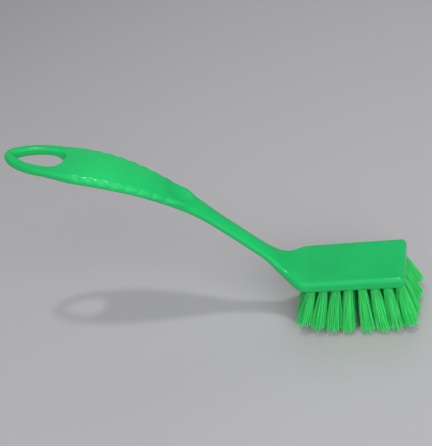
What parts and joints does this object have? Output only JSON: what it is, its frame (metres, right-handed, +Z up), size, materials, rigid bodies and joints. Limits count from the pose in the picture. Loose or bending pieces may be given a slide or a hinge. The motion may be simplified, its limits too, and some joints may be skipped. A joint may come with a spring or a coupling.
{
  "type": "sink_brush",
  "caption": "Sink brush with a one-piece arched handle, a hanging eye, a flat head and rows of stiff bristle tufts that fan out toward the front",
  "frame": {"origin": "Middle of the brush's outline, on the level of the trimmed bristle tips", "axes": "+Z up out of the level head, +X toward the head's free end, -X up along the handle, +Y to the left of the head seen from the handle"},
  "size_m": [0.2496, 0.0527, 0.1503],
  "materials": {
    "moulded_green": "injection-moulded polypropylene, smooth and fairly glossy, with soft rounded edges",
    "bristle_green": "stiff straight polyester filament, cut and trimmed, a little yellower than the body"
  },
  "bodies": {
    "root": {"handle_body": "moulded_green", "tuft_r1_c1": "bristle_green", "tuft_r1_c2": "bristle_green", "tuft_r1_c3": "bristle_green", "tuft_r1_c4": "bristle_green", "tuft_r1_c5": "bristle_green", "tuft_r1_c6": "bristle_green", "tuft_r1_c7": "bristle_green", "tuft_r1_c8": "bristle_green", "tuft_r2_c1": "bristle_green", "tuft_r2_c2": "bristle_green", "tuft_r2_c3": "bristle_green", "tuft_r2_c4": "bristle_green", "tuft_r2_c5": "bristle_green", "tuft_r2_c6": "bristle_green", "tuft_r2_c7": "bristle_green", "tuft_r2_c8": "bristle_green", "tuft_r3_c1": "bristle_green", "tuft_r3_c2": "bristle_green", "tuft_r3_c3": "bristle_green", "tuft_r3_c4": "bristle_green", "tuft_r3_c5": "bristle_green", "tuft_r3_c6": "bristle_green", "tuft_r3_c7": "bristle_green", "tuft_r3_c8": "bristle_green", "tuft_r4_c1": "bristle_green", "tuft_r4_c2": "bristle_green", "tuft_r4_c3": "bristle_green", "tuft_r4_c4": "bristle_green", "tuft_r4_c5": "bristle_green", "tuft_r4_c6": "bristle_green", "tuft_r4_c7": "bristle_green", "tuft_r4_c8": "bristle_green"}
  },
  "joints": []
}
